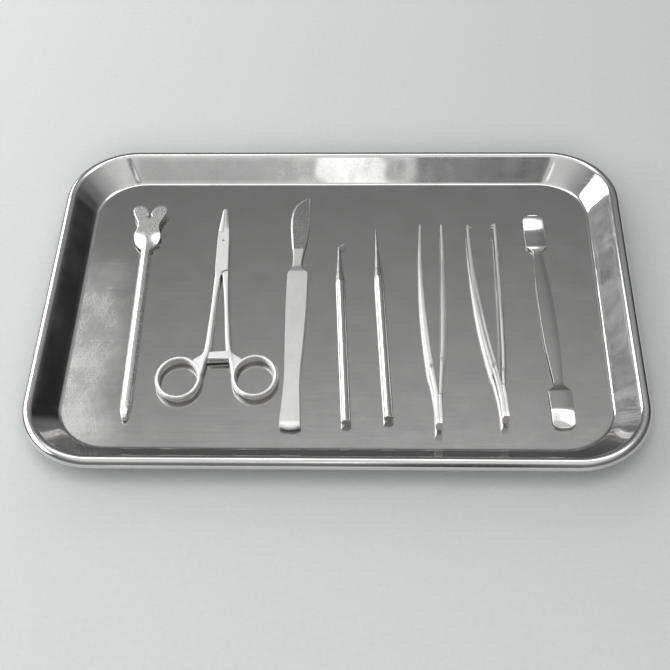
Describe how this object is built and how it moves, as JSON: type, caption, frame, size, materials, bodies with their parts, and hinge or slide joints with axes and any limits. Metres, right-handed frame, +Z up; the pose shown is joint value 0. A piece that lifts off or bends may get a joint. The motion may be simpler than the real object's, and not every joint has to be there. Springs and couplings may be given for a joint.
{
  "type": "instrument tray",
  "caption": "Shallow rectangular stainless steel tray with a rolled rim, laid out with a row of loose surgical dissecting instruments that lift out one by one.",
  "frame": {"origin": "on the surface the tray stands on, under the middle of the tray", "axes": "+X along the tray's long side; +Y towards the back long side, which the instruments' tips point to; +Z up"},
  "size_m": [0.305, 0.22, 0.0118],
  "materials": {
    "tray_pan": "brushed floor, polished walls and rim",
    "grooved_director": "polished",
    "artery_forceps": "polished",
    "artery_forceps_pin": "ground flush",
    "scalpel": "satin handle, ground blade",
    "needle_handle": "polished flats",
    "needle_point": "tempered and polished",
    "forceps_arm": "satin",
    "spatula": "polished"
  },
  "bodies": {
    "tray": {"tray_pan": "tray_pan"},
    "director": {"grooved_director": "grooved_director"},
    "artery_forceps_right": {"artery_forceps_tongue_half": "artery_forceps", "artery_forceps_pivot_pin": "artery_forceps_pin"},
    "artery_forceps_left": {"artery_forceps_box_half": "artery_forceps"},
    "scalpel": {"scalpel": "scalpel"},
    "bent_needle": {"bent_needle_handle": "needle_handle", "bent_needle_point": "needle_point"},
    "straight_needle": {"straight_needle_handle": "needle_handle", "straight_needle_point": "needle_point"},
    "dressing_forceps_left": {"dressing_forceps_left_arm": "forceps_arm"},
    "dressing_forceps_right": {"dressing_forceps_right_arm": "forceps_arm"},
    "tissue_forceps_left": {"tissue_forceps_left_arm": "forceps_arm"},
    "tissue_forceps_right": {"tissue_forceps_right_arm": "forceps_arm"},
    "spatula": {"spatula": "spatula"}
  },
  "joints": [
    {"name": "director_lift", "type": "slide", "parent": "tray", "child": "director", "axis": [0, 0, 1], "range_m": [0, 0.06]},
    {"name": "artery_forceps_lift", "type": "slide", "parent": "tray", "child": "artery_forceps_right", "axis": [0, 0, 1], "range_m": [0, 0.09]},
    {"name": "box_lock", "type": "hinge", "parent": "artery_forceps_right", "child": "artery_forceps_left", "pos_m": [-0.063, 0.0435, 0.00345], "axis": [0, 0, -1], "range_deg": [0, 50]},
    {"name": "scalpel_lift", "type": "slide", "parent": "tray", "child": "scalpel", "axis": [0, 0, 1], "range_m": [0, 0.06]},
    {"name": "bent_needle_lift", "type": "slide", "parent": "tray", "child": "bent_needle", "axis": [0, 0, 1], "range_m": [0, 0.06]},
    {"name": "straight_needle_lift", "type": "slide", "parent": "tray", "child": "straight_needle", "axis": [0, 0, 1], "range_m": [0, 0.06]},
    {"name": "dressing_forceps_lift", "type": "slide", "parent": "tray", "child": "dressing_forceps_left", "axis": [0, 0, 1], "range_m": [0, 0.06]},
    {"name": "dressing_forceps_pinch", "type": "hinge", "parent": "dressing_forceps_left", "child": "dressing_forceps_right", "pos_m": [0.0513, -0.0645, 0.00545], "axis": [0, 0, 1], "range_deg": [0, 4.6], "stiffness_Nm_per_rad": 0.5},
    {"name": "tissue_forceps_lift", "type": "slide", "parent": "tray", "child": "tissue_forceps_left", "axis": [0, 0, 1], "range_m": [0, 0.06]},
    {"name": "tissue_forceps_pinch", "type": "hinge", "parent": "tissue_forceps_left", "child": "tissue_forceps_right", "pos_m": [0.08242, -0.0584, 0.00545], "axis": [0, 0, 1], "range_deg": [0, 5.4], "stiffness_Nm_per_rad": 0.5},
    {"name": "spatula_lift", "type": "slide", "parent": "tray", "child": "spatula", "axis": [0, 0, 1], "range_m": [0, 0.06]}
  ],
  "couplings": [
    {"joint": "box_lock", "follows": "artery_forceps_lift", "rad_per_m": 9.69}
  ]
}
